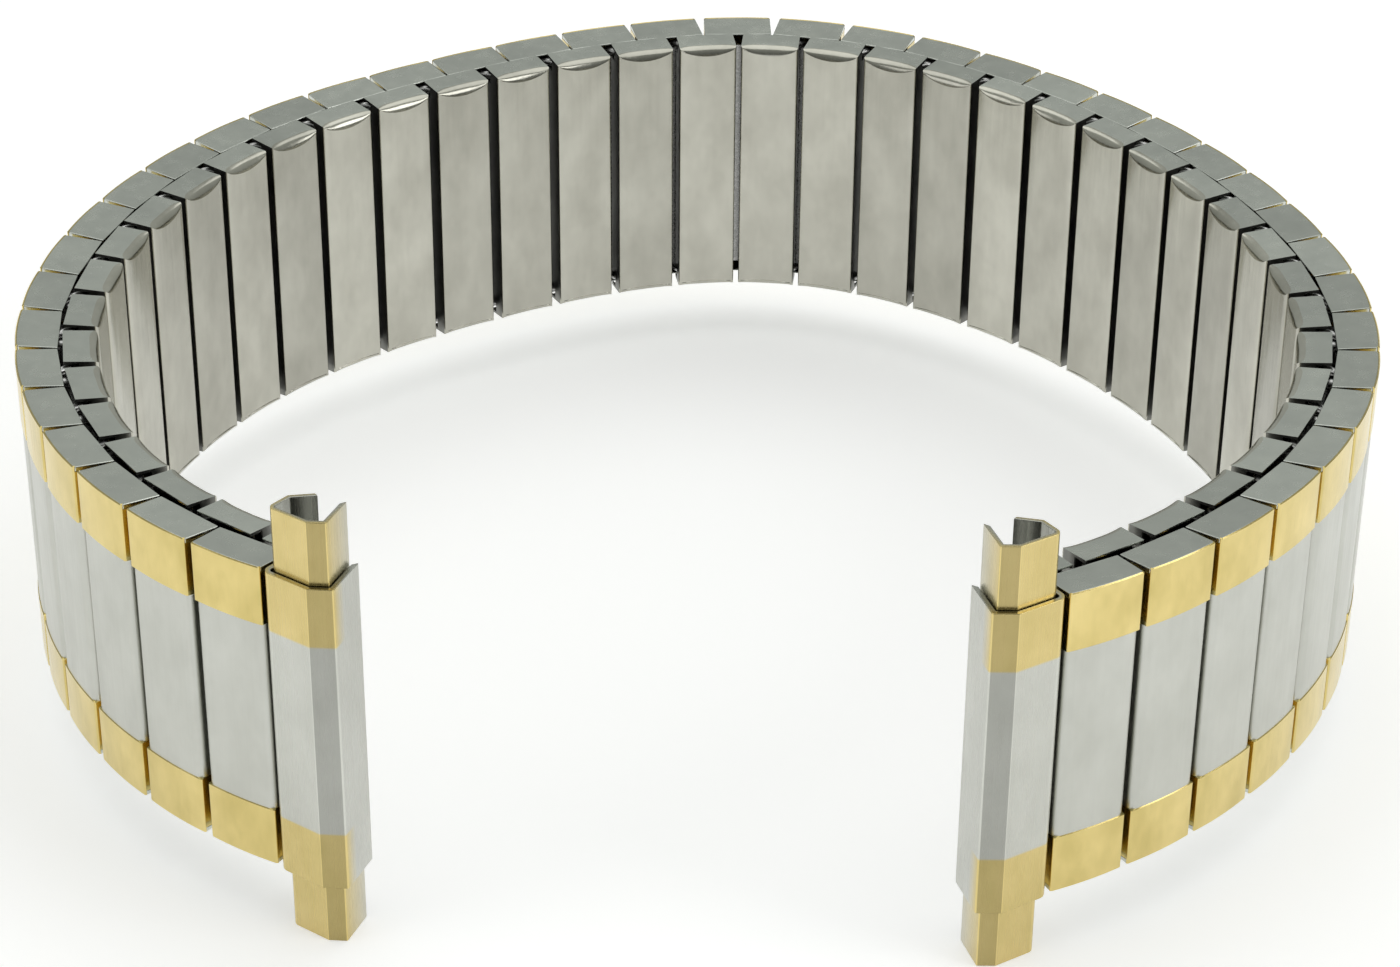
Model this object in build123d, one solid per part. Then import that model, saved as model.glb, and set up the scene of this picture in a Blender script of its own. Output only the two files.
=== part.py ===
from build123d import *
import math
import os

# An expansion band for a wrist watch, standing on its long edge and curved into an open C.
# Two rows of hollow box links lie one on the other, half a link apart.
# U-shaped wire bows join each inner link to the two outer links over it, at both edges of
# the band, and a leaf spring in every link presses on the legs of its bows.
# Each end of the outer row is a folded shell with two sliding tubes for a spring bar.
# Lengths are in millimetres and angles in degrees. The band's width runs along Z, and the
# open side of the C faces -Y.

# The band as a whole
band_width = 16.0
link_pitch = 4.05
outer_link_count = 41
middle_link = 21
row_gap = 0.15
stretch_travel = 1.4
running_gap = 0.03
seat_gap = 0.01
cut_overrun = 1.0

# Pairs of an outer link's number and its heading, which is 0 across the back of the C
heading_stations = (
    (1, 147), (4, 120), (8, 88), (15, 39), (18, 28), (20, 14), (21, 2),
    (22, -12), (24, -33), (29, -62), (32, -78), (37, -119), (41, -150),
)

# Outer links that carry their inner link on a turning bow
bending_links = (4, 7, 10, 13, 16, 19, 23, 26, 29, 32, 35, 38)

# Outer link: a pressed cover with folded ends, closed below by a floor plate
outer_link_gap = 0.1
outer_height = 2.15
outer_crown = 0.1
cover_wall = 0.2
cover_top = 0.25
cover_edge_bevel = 0.12
flap_sheet = 0.3
plated_end = 3.0
center_recess = 0.06
floor_plate = 0.25

# Inner link: a one-piece sleeve with folded ends
inner_length = 3.35
inner_height = 1.75
inner_wall = 0.22
inner_face = 0.3
inner_roof = 0.25
inner_edge_radius = 0.2
end_inner_reach = 0.9

# Connector bow
bow_wire = 0.44
bow_leg_length = 3.5
bow_web = 0.5

# Leaf spring
spring_sheet = 0.12
spring_width = 2.4
spring_length = 12.6

# Pivot of the end shell
pin_radius = 0.25
knuckle_sheet = 0.2
knuckle_length = 8.0
knuckle_side_gap = 0.1
knuckle_reach = 0.6
shell_swing_room = 0.12

# End shell: depths from the last link's end, heights from that link's inner face
shell_sheet = 0.25
shell_gap = 0.15
shell_corner_height = 2.2
shell_wide_facet = 2.65
shell_ridge_height = 2.32
shell_depth = 3.7
shell_front_height = 1.72
shell_front_lean = 0.55
shell_front_drop = 0.75
shell_back_bend = 0.15
shell_bend_height = 0.45
shell_back_lean = 1.2
shell_back_drop = 0.5
shell_corner_radius = 0.45

# Sliding tubes in the end shell
tube_sheet = 0.22
tube_fit = 0.05
tube_reach = 3.2
tube_middle_gap = 0.2
tube_corner_radius = 0.35

# Sizes that follow from those above
half_width = band_width / 2
outer_length = link_pitch - outer_link_gap
outer_room = outer_length / 2 - cover_wall
outer_ceiling = outer_height - outer_crown - cover_top
inner_room = inner_length / 2 - inner_wall
flap_inside = half_width - flap_sheet
web_top = flap_inside - running_gap
web_bottom = web_top - bow_web
sleeve_end = web_bottom - running_gap
bow_radius = bow_wire / 2
outer_leg_height = floor_plate + running_gap + bow_radius
inner_leg_depth = inner_roof + running_gap + bow_radius
outer_legs_top = outer_leg_height + bow_radius + running_gap
inner_legs_bottom = inner_leg_depth + bow_radius + running_gap
inner_leg_place = inner_room - running_gap - bow_radius
fixed_leg_place = link_pitch / 2 - inner_leg_place
free_leg_place = stretch_travel + running_gap + bow_radius - outer_room
knuckle_radius = pin_radius + running_gap + knuckle_sheet
pin_place = end_inner_reach - inner_wall - running_gap - knuckle_radius
pin_depth = (inner_roof + inner_height - inner_face) / 2
tube_length = half_width - tube_middle_gap / 2
middle_height = half_width + tube_reach


def heading(number):
    """The heading of an outer link, between the stations around it."""
    for (first, a), (last, b) in zip(heading_stations, heading_stations[1:]):
        if number <= last:
            return a + (b - a) * (number - first) / (last - first)
    return heading_stations[-1][1]


def joint_points():
    """Where the inner faces of neighbouring outer links meet, from the left end to the right."""
    x, y = 0, 0
    points = [(x, y)]
    for number in range(1, outer_link_count + 1):
        turn = math.radians(heading(number))
        x += link_pitch * math.cos(turn)
        y += link_pitch * math.sin(turn)
        points.append((x, y))
    return points


def placed(x, y, turn):
    """A place on the band's middle plane, with local X along the band and local Y outward."""
    return Location((x, y, 0), (0, 0, turn))


def outer_place(number):
    """The place of an outer link, at the middle of its inner face."""
    (ax, ay), (bx, by) = joint_points()[number - 1:number + 1]
    return placed((ax + bx) / 2, (ay + by) / 2, heading(number))


def bend(number):
    """How far the band turns at the joint after an outer link."""
    if 0 < number < outer_link_count:
        return heading(number) - heading(number + 1)
    return 0


def inner_place(number):
    """The place of the inner link under the joint after an outer link, at its outer face."""
    x, y = joint_points()[number]
    turn = heading(max(number, 1)) - bend(number) / 2
    drop = inner_length / 2 * math.tan(math.radians(bend(number) / 2)) + row_gap
    outward = math.radians(turn + 90)
    return placed(x - drop * math.cos(outward), y - drop * math.sin(outward), turn)


def end_place(side):
    """The place of an end shell, with local X away from the band on the right side."""
    number = outer_link_count if side > 0 else 0
    x, y = joint_points()[number]
    return placed(x, y, heading(max(number, 1)))


def block(x, y, z):
    """A box between pairs of low and high ends."""
    size = [high - low for low, high in (x, y, z)]
    middle = [(low + high) / 2 for low, high in (x, y, z)]
    return Pos(*middle) * Box(*size)


def both_ways(half):
    return (-half, half)


def prism(outline, low, high):
    """A face in the XY plane, extruded between two heights."""
    return Pos(0, 0, low) * extrude(outline, high - low)


def polygon(points):
    return make_face(Polyline(*points, close=True))


def cover_outline(height):
    """The crowned section of an outer link, up to a height at its middle."""
    half = outer_length / 2
    shoulder = height - outer_crown
    crown = ThreePointArc((-half, shoulder), (0, height), (half, shoulder))
    sides = Polyline((half, shoulder), (half, 0), (-half, 0), (-half, shoulder))
    return make_face([crown, sides])


def outer_cover():
    """The pressed cover, hollow from below, with side walls cut back where the bows pass."""
    solid = prism(cover_outline(outer_height), -half_width, half_width)
    long_edges = solid.edges().filter_by(Axis.Z).group_by(Axis.Y)[-1]
    solid = chamfer(long_edges, cover_edge_bevel)
    center = half_width - plated_end
    above = prism(cover_outline(outer_height + cut_overrun), -center, center)
    below = prism(cover_outline(outer_height - center_recess), -center, center)
    solid -= above - below
    solid -= block(both_ways(outer_room), (-cut_overrun, outer_ceiling), both_ways(flap_inside))
    for low, high in ((-flap_inside, -sleeve_end), (sleeve_end, flap_inside)):
        solid -= block(both_ways(outer_length), (-cut_overrun, outer_legs_top), (low, high))
    return solid


def outer_floor():
    """The plate that closes an outer link, between its side walls."""
    half = outer_room - seat_gap
    return block(both_ways(half), (0, floor_plate), both_ways(sleeve_end))


def inner_sleeve(reach):
    """The inner link, to its full length on the left and to a given reach on the right."""
    left = -inner_length / 2
    solid = block((left, reach), (-inner_height, 0), both_ways(half_width))
    low_edges = solid.edges().filter_by(Axis.Z).group_by(Axis.Y)[0]
    solid = fillet(low_edges, inner_edge_radius)
    room = (left + inner_wall, reach - inner_wall)
    solid -= block(room, (inner_face - inner_height, -inner_roof), both_ways(flap_inside))
    wide = (left - cut_overrun, reach + cut_overrun)
    for low, high in ((-flap_inside, -sleeve_end), (sleeve_end, flap_inside)):
        solid -= block(wide, (-inner_legs_bottom, cut_overrun), (low, high))
    return solid


def end_inner_sleeve():
    """The last inner link: short, bored for the pivot pin and open above for the knuckle."""
    solid = inner_sleeve(end_inner_reach)
    bore = Pos(pin_place, -pin_depth) * Circle(pin_radius + seat_gap)
    solid -= prism(bore, -half_width, half_width)
    slot_start = pin_place + pin_radius - shell_swing_room
    slot = (slot_start, end_inner_reach + cut_overrun)
    half = knuckle_length / 2 + knuckle_side_gap
    floor = -pin_depth - knuckle_side_gap
    solid -= block(slot, (floor, cut_overrun), both_ways(half))
    return solid


def bow(outer_leg, inner_leg):
    """A U-shaped bow at the upper edge of the band, through two points of its legs."""
    solid = None
    for x, y in (outer_leg, inner_leg):
        leg = prism(Pos(x, y) * Circle(bow_radius), web_bottom - bow_leg_length, web_top)
        solid = leg if solid is None else solid + leg
    (ax, ay), (bx, by) = outer_leg, inner_leg
    length = math.hypot(bx - ax, by - ay)
    turn = math.degrees(math.atan2(by - ay, bx - ax))
    web = Pos((ax + bx) / 2, (ay + by) / 2) * Rot(0, 0, turn) * Rectangle(length, bow_wire)
    return solid + prism(web, web_bottom, web_top)


def bow_pair(outer_leg, inner_leg):
    """The bow at the upper edge and its twin at the lower edge."""
    upper = bow(outer_leg, inner_leg)
    return [upper, mirror(upper, Plane.XY)]


def leaf_spring(low, high):
    """A strip bowed along the band's width, low over the legs and high at its middle."""
    half = spring_length / 2
    under = ThreePointArc((-half, low), (0, high - spring_sheet), (half, low))
    over = ThreePointArc((-half, low + spring_sheet), (0, high), (half, low + spring_sheet))
    ends = [Line(under @ at, over @ at) for at in (0, 1)]
    strip = extrude(make_face([under, over, *ends]), spring_width / 2, both=True)
    return Rot(0, -90, 0) * strip


def outer_link():
    """The pieces that stay with every outer link, about the middle of its inner face."""
    spring = leaf_spring(outer_legs_top, outer_ceiling - seat_gap)
    return [outer_cover(), outer_floor(), spring]


def inner_spring():
    deep = inner_face - inner_height + seat_gap
    return mirror(leaf_spring(inner_legs_bottom, -deep), Plane.XZ)


def seen_from(place, other, x, y):
    """A point given about one place, told about another."""
    point = (other.inverse() * place * Location((x, y, 0))).position
    return (point.X, point.Y)


def inner_link(number, side):
    """An inner link with its spring and the bows to the outer links on both sides of it.

    The bow towards the middle of the band stands upright. The other one leans out and has
    room to run in the next outer link as the band stretches.
    """
    place = inner_place(number)
    near, far = (number, number + 1) if side > 0 else (number + 1, number)
    legs = inner_leg_place * side
    fixed = seen_from(outer_place(near), place, fixed_leg_place * side, outer_leg_height)
    pieces = [inner_spring(), *bow_pair(fixed, (-legs, -inner_leg_depth))]
    if 0 < number < outer_link_count:
        pieces.append(inner_sleeve(inner_length / 2))
        free = seen_from(outer_place(far), place, free_leg_place * side, outer_leg_height)
        pieces += bow_pair(free, (legs, -inner_leg_depth))
    else:
        pin = prism(Pos(pin_place, -pin_depth) * Circle(pin_radius), -half_width, half_width)
        ends = [end_inner_sleeve(), pin]
        pieces += ends if side > 0 else [mirror(piece, Plane.YZ) for piece in ends]
        pieces[0] = end_spring(side)
    return [place * piece for piece in pieces]


def end_spring(side):
    """The narrow spring of a last inner link, clear of the knuckle."""
    left = -inner_length / 2 + inner_wall + running_gap
    right = pin_place - knuckle_radius - running_gap
    strip = block((left, right), both_ways(inner_height), both_ways(half_width))
    spring = inner_spring() & strip
    return spring if side > 0 else mirror(spring, Plane.YZ)


def shell_outline():
    """The section of an end shell, from the corner at the last link round to the mouth."""
    corners = (
        (shell_gap, shell_corner_height),
        (shell_gap + shell_wide_facet, shell_ridge_height),
        (shell_gap + shell_depth, shell_front_height),
        (shell_gap + shell_depth - shell_front_lean, -shell_front_drop),
        (shell_gap + shell_back_lean, -shell_back_drop),
        (shell_gap + shell_back_bend, shell_bend_height),
    )
    return polygon(corners)


def rounded(outline, radius):
    """A section with its corner at the last link rounded."""
    corner = outline.vertices().sort_by(Axis.X)[0]
    return fillet(corner, radius)


def channel(outline, sheet, radius, low, high):
    """A folded channel: an outline with a wall of sheet and a mouth at its low side."""
    inside = offset(outline, -sheet, kind=Kind.INTERSECTION)
    floor = inside.vertices().sort_by(Axis.Y)[:2].sort_by(Axis.X)
    left, right = floor[0], floor[1]
    under = left.Y - cut_overrun * 2
    over = max(left.Y, right.Y) + seat_gap
    mouth = polygon(((left.X, under), (left.X, over), (right.X, over), (right.X, under)))
    wall = rounded(outline, radius) - rounded(inside, max(radius - sheet, seat_gap)) - mouth
    return prism(wall, low, high)


def end_shell():
    return channel(shell_outline(), shell_sheet, shell_corner_radius, -half_width, half_width)


def end_tube():
    """The upper sliding tube of an end shell, pulled out."""
    outline = offset(shell_outline(), -(shell_sheet + tube_fit), kind=Kind.INTERSECTION)
    top = half_width + tube_reach
    return channel(outline, tube_sheet, tube_corner_radius, top - tube_length, top)


def knuckle():
    """The eye and strap that tie an end shell to the pivot pin in the last inner link."""
    half = knuckle_length / 2
    eye_y = -row_gap - pin_depth
    eye = Pos(pin_place, eye_y) * Circle(knuckle_radius)
    bore = Pos(pin_place, eye_y) * Circle(pin_radius + running_gap)
    low_x, high_x = pin_place + pin_radius + running_gap, pin_place + knuckle_radius
    back = shell_gap + shell_back_lean
    strap = polygon(
        ((low_x, eye_y), (low_x, knuckle_reach), (back, knuckle_reach), (high_x, 0), (high_x, eye_y))
    )
    solid = prism(eye + strap - bore, -half, half)
    return solid - prism(rounded(shell_outline(), shell_corner_radius), -half, half)


def end_pieces(side):
    """The shell with its knuckle, then the upper and the lower tube, of one end."""
    tube = end_tube()
    nodes = [[end_shell(), knuckle()], [tube], [mirror(tube, Plane.XY)]]
    if side < 0:
        nodes = [[mirror(piece, Plane.YZ) for piece in pieces] for pieces in nodes]
    return [[end_place(side) * piece for piece in pieces] for pieces in nodes]


def side_of(number):
    """1 for outer links right of the middle one, -1 for those left of it."""
    return 1 if number > middle_link else -1


def inner_number(number, side):
    """The number of the inner link that hangs on an outer link's far side."""
    return number if side > 0 else number - 1


def node_names():
    """Each outer link's node and, where its inner link turns on it, that link's node."""
    names = {}
    for number in range(1, outer_link_count + 1):
        kind = "outer_link" if number in bending_links else "link_pair"
        names[number] = f"{kind}_{number:02d}"
    names[middle_link] = f"middle_links_{middle_link:02d}"
    turning = {number: f"inner_link_{number:02d}" for number in bending_links}
    return names, turning


def all_nodes():
    """Every node's name with its solids, before the whole is set on its base."""
    names, turning = node_names()
    link = outer_link()
    nodes = {}
    for number, name in names.items():
        nodes[name] = [outer_place(number) * piece for piece in link]
        sides = (-1, 1) if number == middle_link else (side_of(number),)
        for side in sides:
            pieces = inner_link(inner_number(number, side), side)
            if number in turning:
                nodes[turning[number]] = pieces
            else:
                nodes[name] += pieces
    for side, word in ((-1, "left"), (1, "right")):
        shell, upper, lower = end_pieces(side)
        nodes[f"end_shell_{word}"] = shell
        nodes[f"end_tube_{word}_upper"] = upper
        nodes[f"end_tube_{word}_lower"] = lower
    return nodes


def base_shift(nodes):
    """The move that sets the band on its lower tubes, with its box about the origin."""
    boxes = [piece.bounding_box() for pieces in nodes.values() for piece in pieces]
    x = min(box.min.X for box in boxes) + max(box.max.X for box in boxes)
    y = min(box.min.Y for box in boxes) + max(box.max.Y for box in boxes)
    return Location((-x / 2, -y / 2, middle_height))


def main():
    os.makedirs("parts", exist_ok=True)
    nodes = all_nodes()
    shift = base_shift(nodes)
    for name, pieces in nodes.items():
        solids = [solid for piece in pieces for solid in (shift * piece).solids()]
        export_step(Compound(children=solids), f"parts/{name}.step")
    print(len(nodes), "nodes, set on the base by", shift.position)


if __name__ == "__main__":
    main()
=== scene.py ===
# %% [markdown]
# An expansion watch band, stood on its long edge and curved into an open C.
# Two rows of box links lie back to back, half a link apart: the outer row is gold at both
# edges and satin steel between, and the inner row, which touches the wrist, is polished.
# The solid model is loaded first, as a frame that never moves. Every piece made here
# rides on one of its bodies, so the band still stretches and bends.

# %% Load the frame
import math

import bmesh
import bpy
from mathutils import Matrix, Vector


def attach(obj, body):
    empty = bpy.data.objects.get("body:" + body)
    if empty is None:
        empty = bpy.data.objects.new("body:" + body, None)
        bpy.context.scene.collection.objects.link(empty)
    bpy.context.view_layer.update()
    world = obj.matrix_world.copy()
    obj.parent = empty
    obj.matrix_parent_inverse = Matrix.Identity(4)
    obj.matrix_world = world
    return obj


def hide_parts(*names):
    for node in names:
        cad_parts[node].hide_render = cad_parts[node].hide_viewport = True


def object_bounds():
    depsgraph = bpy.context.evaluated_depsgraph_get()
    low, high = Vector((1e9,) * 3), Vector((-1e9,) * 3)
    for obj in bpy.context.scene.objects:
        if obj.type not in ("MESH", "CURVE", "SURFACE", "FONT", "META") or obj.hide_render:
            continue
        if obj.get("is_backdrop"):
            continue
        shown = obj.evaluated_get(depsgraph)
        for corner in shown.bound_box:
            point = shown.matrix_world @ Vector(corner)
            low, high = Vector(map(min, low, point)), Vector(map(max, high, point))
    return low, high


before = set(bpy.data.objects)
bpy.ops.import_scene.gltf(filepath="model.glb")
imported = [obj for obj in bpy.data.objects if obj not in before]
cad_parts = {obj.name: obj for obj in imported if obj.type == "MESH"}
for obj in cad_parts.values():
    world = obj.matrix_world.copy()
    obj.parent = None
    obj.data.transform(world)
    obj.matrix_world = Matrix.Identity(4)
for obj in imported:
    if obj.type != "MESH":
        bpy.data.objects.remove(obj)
cad_low, cad_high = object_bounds()
print("box of the solid model", tuple(cad_low), tuple(cad_high))

# %% [markdown]
# The camera comes first. It stands where the photographer's stood: about 19 cm away,
# looking down at thirty degrees through a long lens, which keeps the near ends and the
# far side of the band close in size. The floor is a pale sheet that runs past the edges
# of the view.

# %% Camera
MM = 0.001
PHOTO_WIDTH_PX = 1400
FOCAL_PX = 3502.5
CAMERA_PLACE = (0.461, -161.671, 98.895)
CAMERA_PITCH = 29.80
CAMERA_ROLL = 0.504
CAMERA_YAW = 0.109
SENSOR = 36
CLIP = (0.005, 20)


def camera_turn():
    """The camera's own axes, from how far it looks down, leans and looks aside."""
    pitch, roll = math.radians(CAMERA_PITCH), math.radians(CAMERA_ROLL)
    right = Vector((1, 0, 0))
    up = Vector((0, math.sin(pitch), math.cos(pitch)))
    back = Vector((0, -math.cos(pitch), math.sin(pitch)))
    leaning_right = right * math.cos(roll) + up * math.sin(roll)
    leaning_up = up * math.cos(roll) - right * math.sin(roll)
    turn = Matrix((leaning_right, leaning_up, back)).transposed()
    return Matrix.Rotation(math.radians(CAMERA_YAW), 3, "Z") @ turn


camera = bpy.data.objects.new("camera", bpy.data.cameras.new("camera"))
bpy.context.scene.collection.objects.link(camera)
camera.data.sensor_width = SENSOR
camera.data.lens = SENSOR * FOCAL_PX / PHOTO_WIDTH_PX
camera.data.clip_start, camera.data.clip_end = CLIP
camera.matrix_world = Matrix.Translation(Vector(CAMERA_PLACE) * MM) @ camera_turn().to_4x4()
bpy.context.scene.camera = camera
print("lens in mm", round(camera.data.lens, 1))

# %% [markdown]
# The sizes repeat those of the solid model, in millimetres, because the pieces made here
# stand in for its solids. The curve of the band is kept as headings: each station is the
# number of an outer link and the way it points, and the links between turn evenly.

# %% Sizes
BAND_WIDTH = 16.0
PITCH = 4.05
LINKS = 41
MIDDLE = 21
ROW_GAP = 0.15
OUTER_LENGTH = 3.95
INNER_LENGTH = 3.35
INNER_HEIGHT = 1.75
HALF = BAND_WIDTH / 2
STATIONS = (
    (1, 147), (4, 120), (8, 88), (15, 39), (18, 28), (20, 14), (21, 2),
    (22, -12), (24, -33), (29, -62), (32, -78), (37, -119), (41, -150),
)
LEFT_END = (-17.9495, -28.6339)
MIDDLE_HEIGHT = 11.2
print("outer links", LINKS, "inner links", LINKS + 1)
print("closed length of the outer row in mm", round(LINKS * PITCH, 2))

# %% [markdown]
# Each link has its own place: a point in the plane between the two rows and a heading
# along the band. The outer row follows a chain of headings, and an inner link hangs below
# each joint of that chain, turned half way between its neighbours. So the places of all
# 83 links come from one short list, and no link is placed by hand.

# %% Places of the links
def heading(number):
    """The heading of an outer link in degrees, between the stations around it."""
    for (first, a), (last, b) in zip(STATIONS, STATIONS[1:]):
        if number <= last:
            return a + (b - a) * (number - first) / (last - first)


def joint_points():
    """Where the inner faces of neighbouring outer links meet, from the left end."""
    x, y = LEFT_END
    points = [(x, y)]
    for number in range(1, LINKS + 1):
        turn = math.radians(heading(number))
        x += PITCH * math.cos(turn)
        y += PITCH * math.sin(turn)
        points.append((x, y))
    return points


JOINTS = joint_points()


def outer_place(number):
    """(x, y, heading) of an outer link, at the middle of its inner face."""
    (ax, ay), (bx, by) = JOINTS[number - 1:number + 1]
    return ((ax + bx) / 2, (ay + by) / 2, heading(number))


def inner_place(number):
    """(x, y, heading) of the inner link under the joint after an outer link."""
    x, y = JOINTS[number]
    bend = heading(number) - heading(number + 1) if 0 < number < LINKS else 0
    turn = heading(max(number, 1)) - bend / 2
    drop = INNER_LENGTH / 2 * math.tan(math.radians(bend / 2)) + ROW_GAP
    outward = math.radians(turn + 90)
    return (x - drop * math.cos(outward), y - drop * math.sin(outward), turn)


def end_place(side):
    """(x, y, heading) of an end shell, at the last link's corner."""
    number = LINKS if side > 0 else 0
    return (*JOINTS[number], heading(max(number, 1)))


def in_band(place, x, y):
    """A point told about a place, moved into the band's plane."""
    px, py, turn = place
    c, s = math.cos(math.radians(turn)), math.sin(math.radians(turn))
    return (px + x * c - y * s, py + x * s + y * c)


print("first and last joint", JOINTS[0], JOINTS[-1])

# %% [markdown]
# Metal shows mostly what it mirrors, so a finish is a colour, a roughness and the fine
# lines that polishing leaves. One noise, stretched along the brushing, sets the roughness
# and a shallow bump. A second one mottles the colour and a third bends the surface in slow
# waves. All of them read Object coordinates, so they stay with the metal as it moves.

# %% Helpers for the finishes
COLOR_MODE = "RGBA"
NOISE_ROUGHNESS = 0.6
NOISE_RANGE = (0.3, 0.7)
LINE_DETAIL = 3
WAVE_DETAIL = 1
CLOUD_SCALE = (420, 420, 260)
LINE_DEPTH = 0.006
WAVE_DEPTH = 0.03
WAVE_BITE = 0.3


def new_material(name):
    """An empty node material with its output, shader and Object coordinates."""
    material = bpy.data.materials.new(name)
    material.use_nodes = True
    nodes = material.node_tree.nodes
    nodes.clear()
    output = nodes.new("ShaderNodeOutputMaterial")
    shader = nodes.new("ShaderNodeBsdfPrincipled")
    where = nodes.new("ShaderNodeTexCoord")
    material.node_tree.links.new(shader.outputs["BSDF"], output.inputs["Surface"])
    return material, shader, where


def stretched_noise(material, where, scale, detail):
    """Noise with its own scale along each axis, in lines per metre."""
    nodes, links = material.node_tree.nodes, material.node_tree.links
    mapping = nodes.new("ShaderNodeMapping")
    mapping.inputs["Scale"].default_value = scale
    noise = nodes.new("ShaderNodeTexNoise")
    noise.inputs["Scale"].default_value = 1
    noise.inputs["Detail"].default_value = detail
    noise.inputs["Roughness"].default_value = NOISE_ROUGHNESS
    links.new(where.outputs["Object"], mapping.inputs["Vector"])
    links.new(mapping.outputs["Vector"], noise.inputs["Vector"])
    return noise.outputs["Fac"]


def ranged(material, value, low, high, source=NOISE_RANGE):
    """A value mapped from a source range to a new one."""
    node = material.node_tree.nodes.new("ShaderNodeMapRange")
    names = ("From Min", "From Max", "To Min", "To Max")
    for name, number in zip(names, (*source, low, high)):
        node.inputs[name].default_value = number
    material.node_tree.links.new(value, node.inputs["Value"])
    return node.outputs["Result"]


def mixed(material, factor, dark, light):
    """A colour between two, each a colour or the output of a node."""
    node = material.node_tree.nodes.new("ShaderNodeMix")
    node.data_type = COLOR_MODE
    links = material.node_tree.links
    links.new(factor, node.inputs["Factor"])
    for socket, color in ((node.inputs[6], dark), (node.inputs[7], light)):
        if isinstance(color, tuple):
            socket.default_value = (*color, 1)
        else:
            links.new(color, socket)
    return node.outputs[2]


def bumped(material, height, distance, strength, normal=None):
    """A bump from a height, on top of another bump if one is given."""
    node = material.node_tree.nodes.new("ShaderNodeBump")
    node.inputs["Strength"].default_value = strength
    node.inputs["Distance"].default_value = distance * MM
    links = material.node_tree.links
    links.new(height, node.inputs["Height"])
    if normal is not None:
        links.new(normal, node.inputs["Normal"])
    return node.outputs["Normal"]


def toned(material, color):
    """A colour made lighter or darker by the tone kept on the mesh: a random tone on the links,
    painted shade and highlight on the shells and tubes.
    """
    nodes, links = material.node_tree.nodes, material.node_tree.links
    tone = nodes.new("ShaderNodeAttribute")
    tone.attribute_name = "tone"
    scaled = nodes.new("ShaderNodeVectorMath")
    scaled.operation = "SCALE"
    links.new(color, scaled.inputs[0])
    links.new(tone.outputs["Fac"], scaled.inputs["Scale"])
    return scaled.outputs[0]


def metal(name, dark, light, rough, brushed, waves, bite=0.25, own_tone=False):
    """A metal with brushing lines, a mottled polish and slow waves in its surface."""
    material, shader, where = new_material(name)
    links = material.node_tree.links
    lines = stretched_noise(material, where, brushed, LINE_DETAIL)
    cloud = stretched_noise(material, where, CLOUD_SCALE, LINE_DETAIL)
    slow = stretched_noise(material, where, waves, WAVE_DETAIL)
    tone = ranged(material, cloud, 0, 1)
    color = mixed(material, tone, dark, light)
    links.new(toned(material, color) if own_tone else color, shader.inputs["Base Color"])
    links.new(ranged(material, lines, *rough), shader.inputs["Roughness"])
    fine = bumped(material, lines, LINE_DEPTH, bite)
    links.new(bumped(material, slow, WAVE_DEPTH, WAVE_BITE, fine), shader.inputs["Normal"])
    shader.inputs["Metallic"].default_value = 1
    return material


print("the lines of the brushing are", LINE_DEPTH, "mm deep and its waves", WAVE_DEPTH)

# %% [markdown]
# The satin centre is brushed along the links, which stand upright here, so its noise is
# stretched along Z. The plate is smoother, and the flaps and wrist faces are buffed nearly
# to a mirror with a little haze. No two links leave the buffing quite alike, so these two
# finishes are also made lighter or darker by a tone that each link carries. The long side
# walls of the inner links are left dull, and their colour is painted shade, darker than
# steel is, so that the gaps between the links read as dark as they do on the real band.

# %% Finishes
SATIN = metal(
    "satin_steel", (0.53, 0.535, 0.49), (0.60, 0.605, 0.56), (0.28, 0.40),
    (9000, 9000, 120), (500, 500, 40),
)
GOLD = metal(
    "gold_plate", (0.62, 0.50, 0.19), (0.80, 0.65, 0.28), (0.14, 0.26),
    (7000, 7000, 160), (400, 400, 60), 0.10,
)
FLAP = metal(
    "polished_flap", (0.56, 0.58, 0.54), (0.64, 0.66, 0.61), (0.16, 0.30),
    (1500, 1500, 1500), (300, 300, 300), 0.25, True,
)
FACE = metal(
    "polished_wrist_face", (0.47, 0.46, 0.40), (0.59, 0.58, 0.51), (0.14, 0.24),
    (3500, 3500, 120), (260, 260, 120), 0.10, True,
)
WIRE = metal(
    "spring_wire", (0.46, 0.46, 0.45), (0.58, 0.58, 0.57), (0.22, 0.34),
    (5000, 5000, 5000), (500, 500, 500),
)
# The side walls' dark colour is painted shade for the gaps between the links; their roughness is
# their own.
PAINTED_SHADE_WALL = metal(
    "painted_shade_side_wall", (0.16, 0.16, 0.15), (0.26, 0.26, 0.24), (0.30, 0.42),
    (2500, 2500, 160), (300, 300, 120),
)
FINISHES = (SATIN, GOLD, FLAP, FACE, WIRE, PAINTED_SHADE_WALL)
IN_SATIN, IN_GOLD, IN_FLAP, IN_FACE, IN_WIRE, IN_PAINTED_SHADE_WALL = range(len(FINISHES))
print("finishes", [material.name for material in FINISHES])

# %% [markdown]
# Sheet-metal boxes are easiest to make as lofts: a row of points is drawn across the
# sheet, repeated along it, and the quads between rows become its skin. Leaving quads out
# gives the small windows where the wire bows pass. Solidify then gives the skin its
# thickness and Bevel softens the folds. Each face carries the number of its finish, so
# one mesh can be plated at its ends and bare between.

# %% Lofting
SHARP = math.radians(30)
EDGE_STEPS = 2
MERGE = 0.001


def mesh_object(name, points, faces, finishes):
    """An object from points in millimetres, with the number of each face's finish."""
    mesh = bpy.data.meshes.new(name)
    mesh.from_pydata([Vector(point) * MM for point in points], [], faces)
    numbers = mesh.attributes.new("finish", "INT", "FACE")
    numbers.data.foreach_set("value", finishes)
    obj = bpy.data.objects.new(name, mesh)
    bpy.context.scene.collection.objects.link(obj)
    return obj


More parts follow.
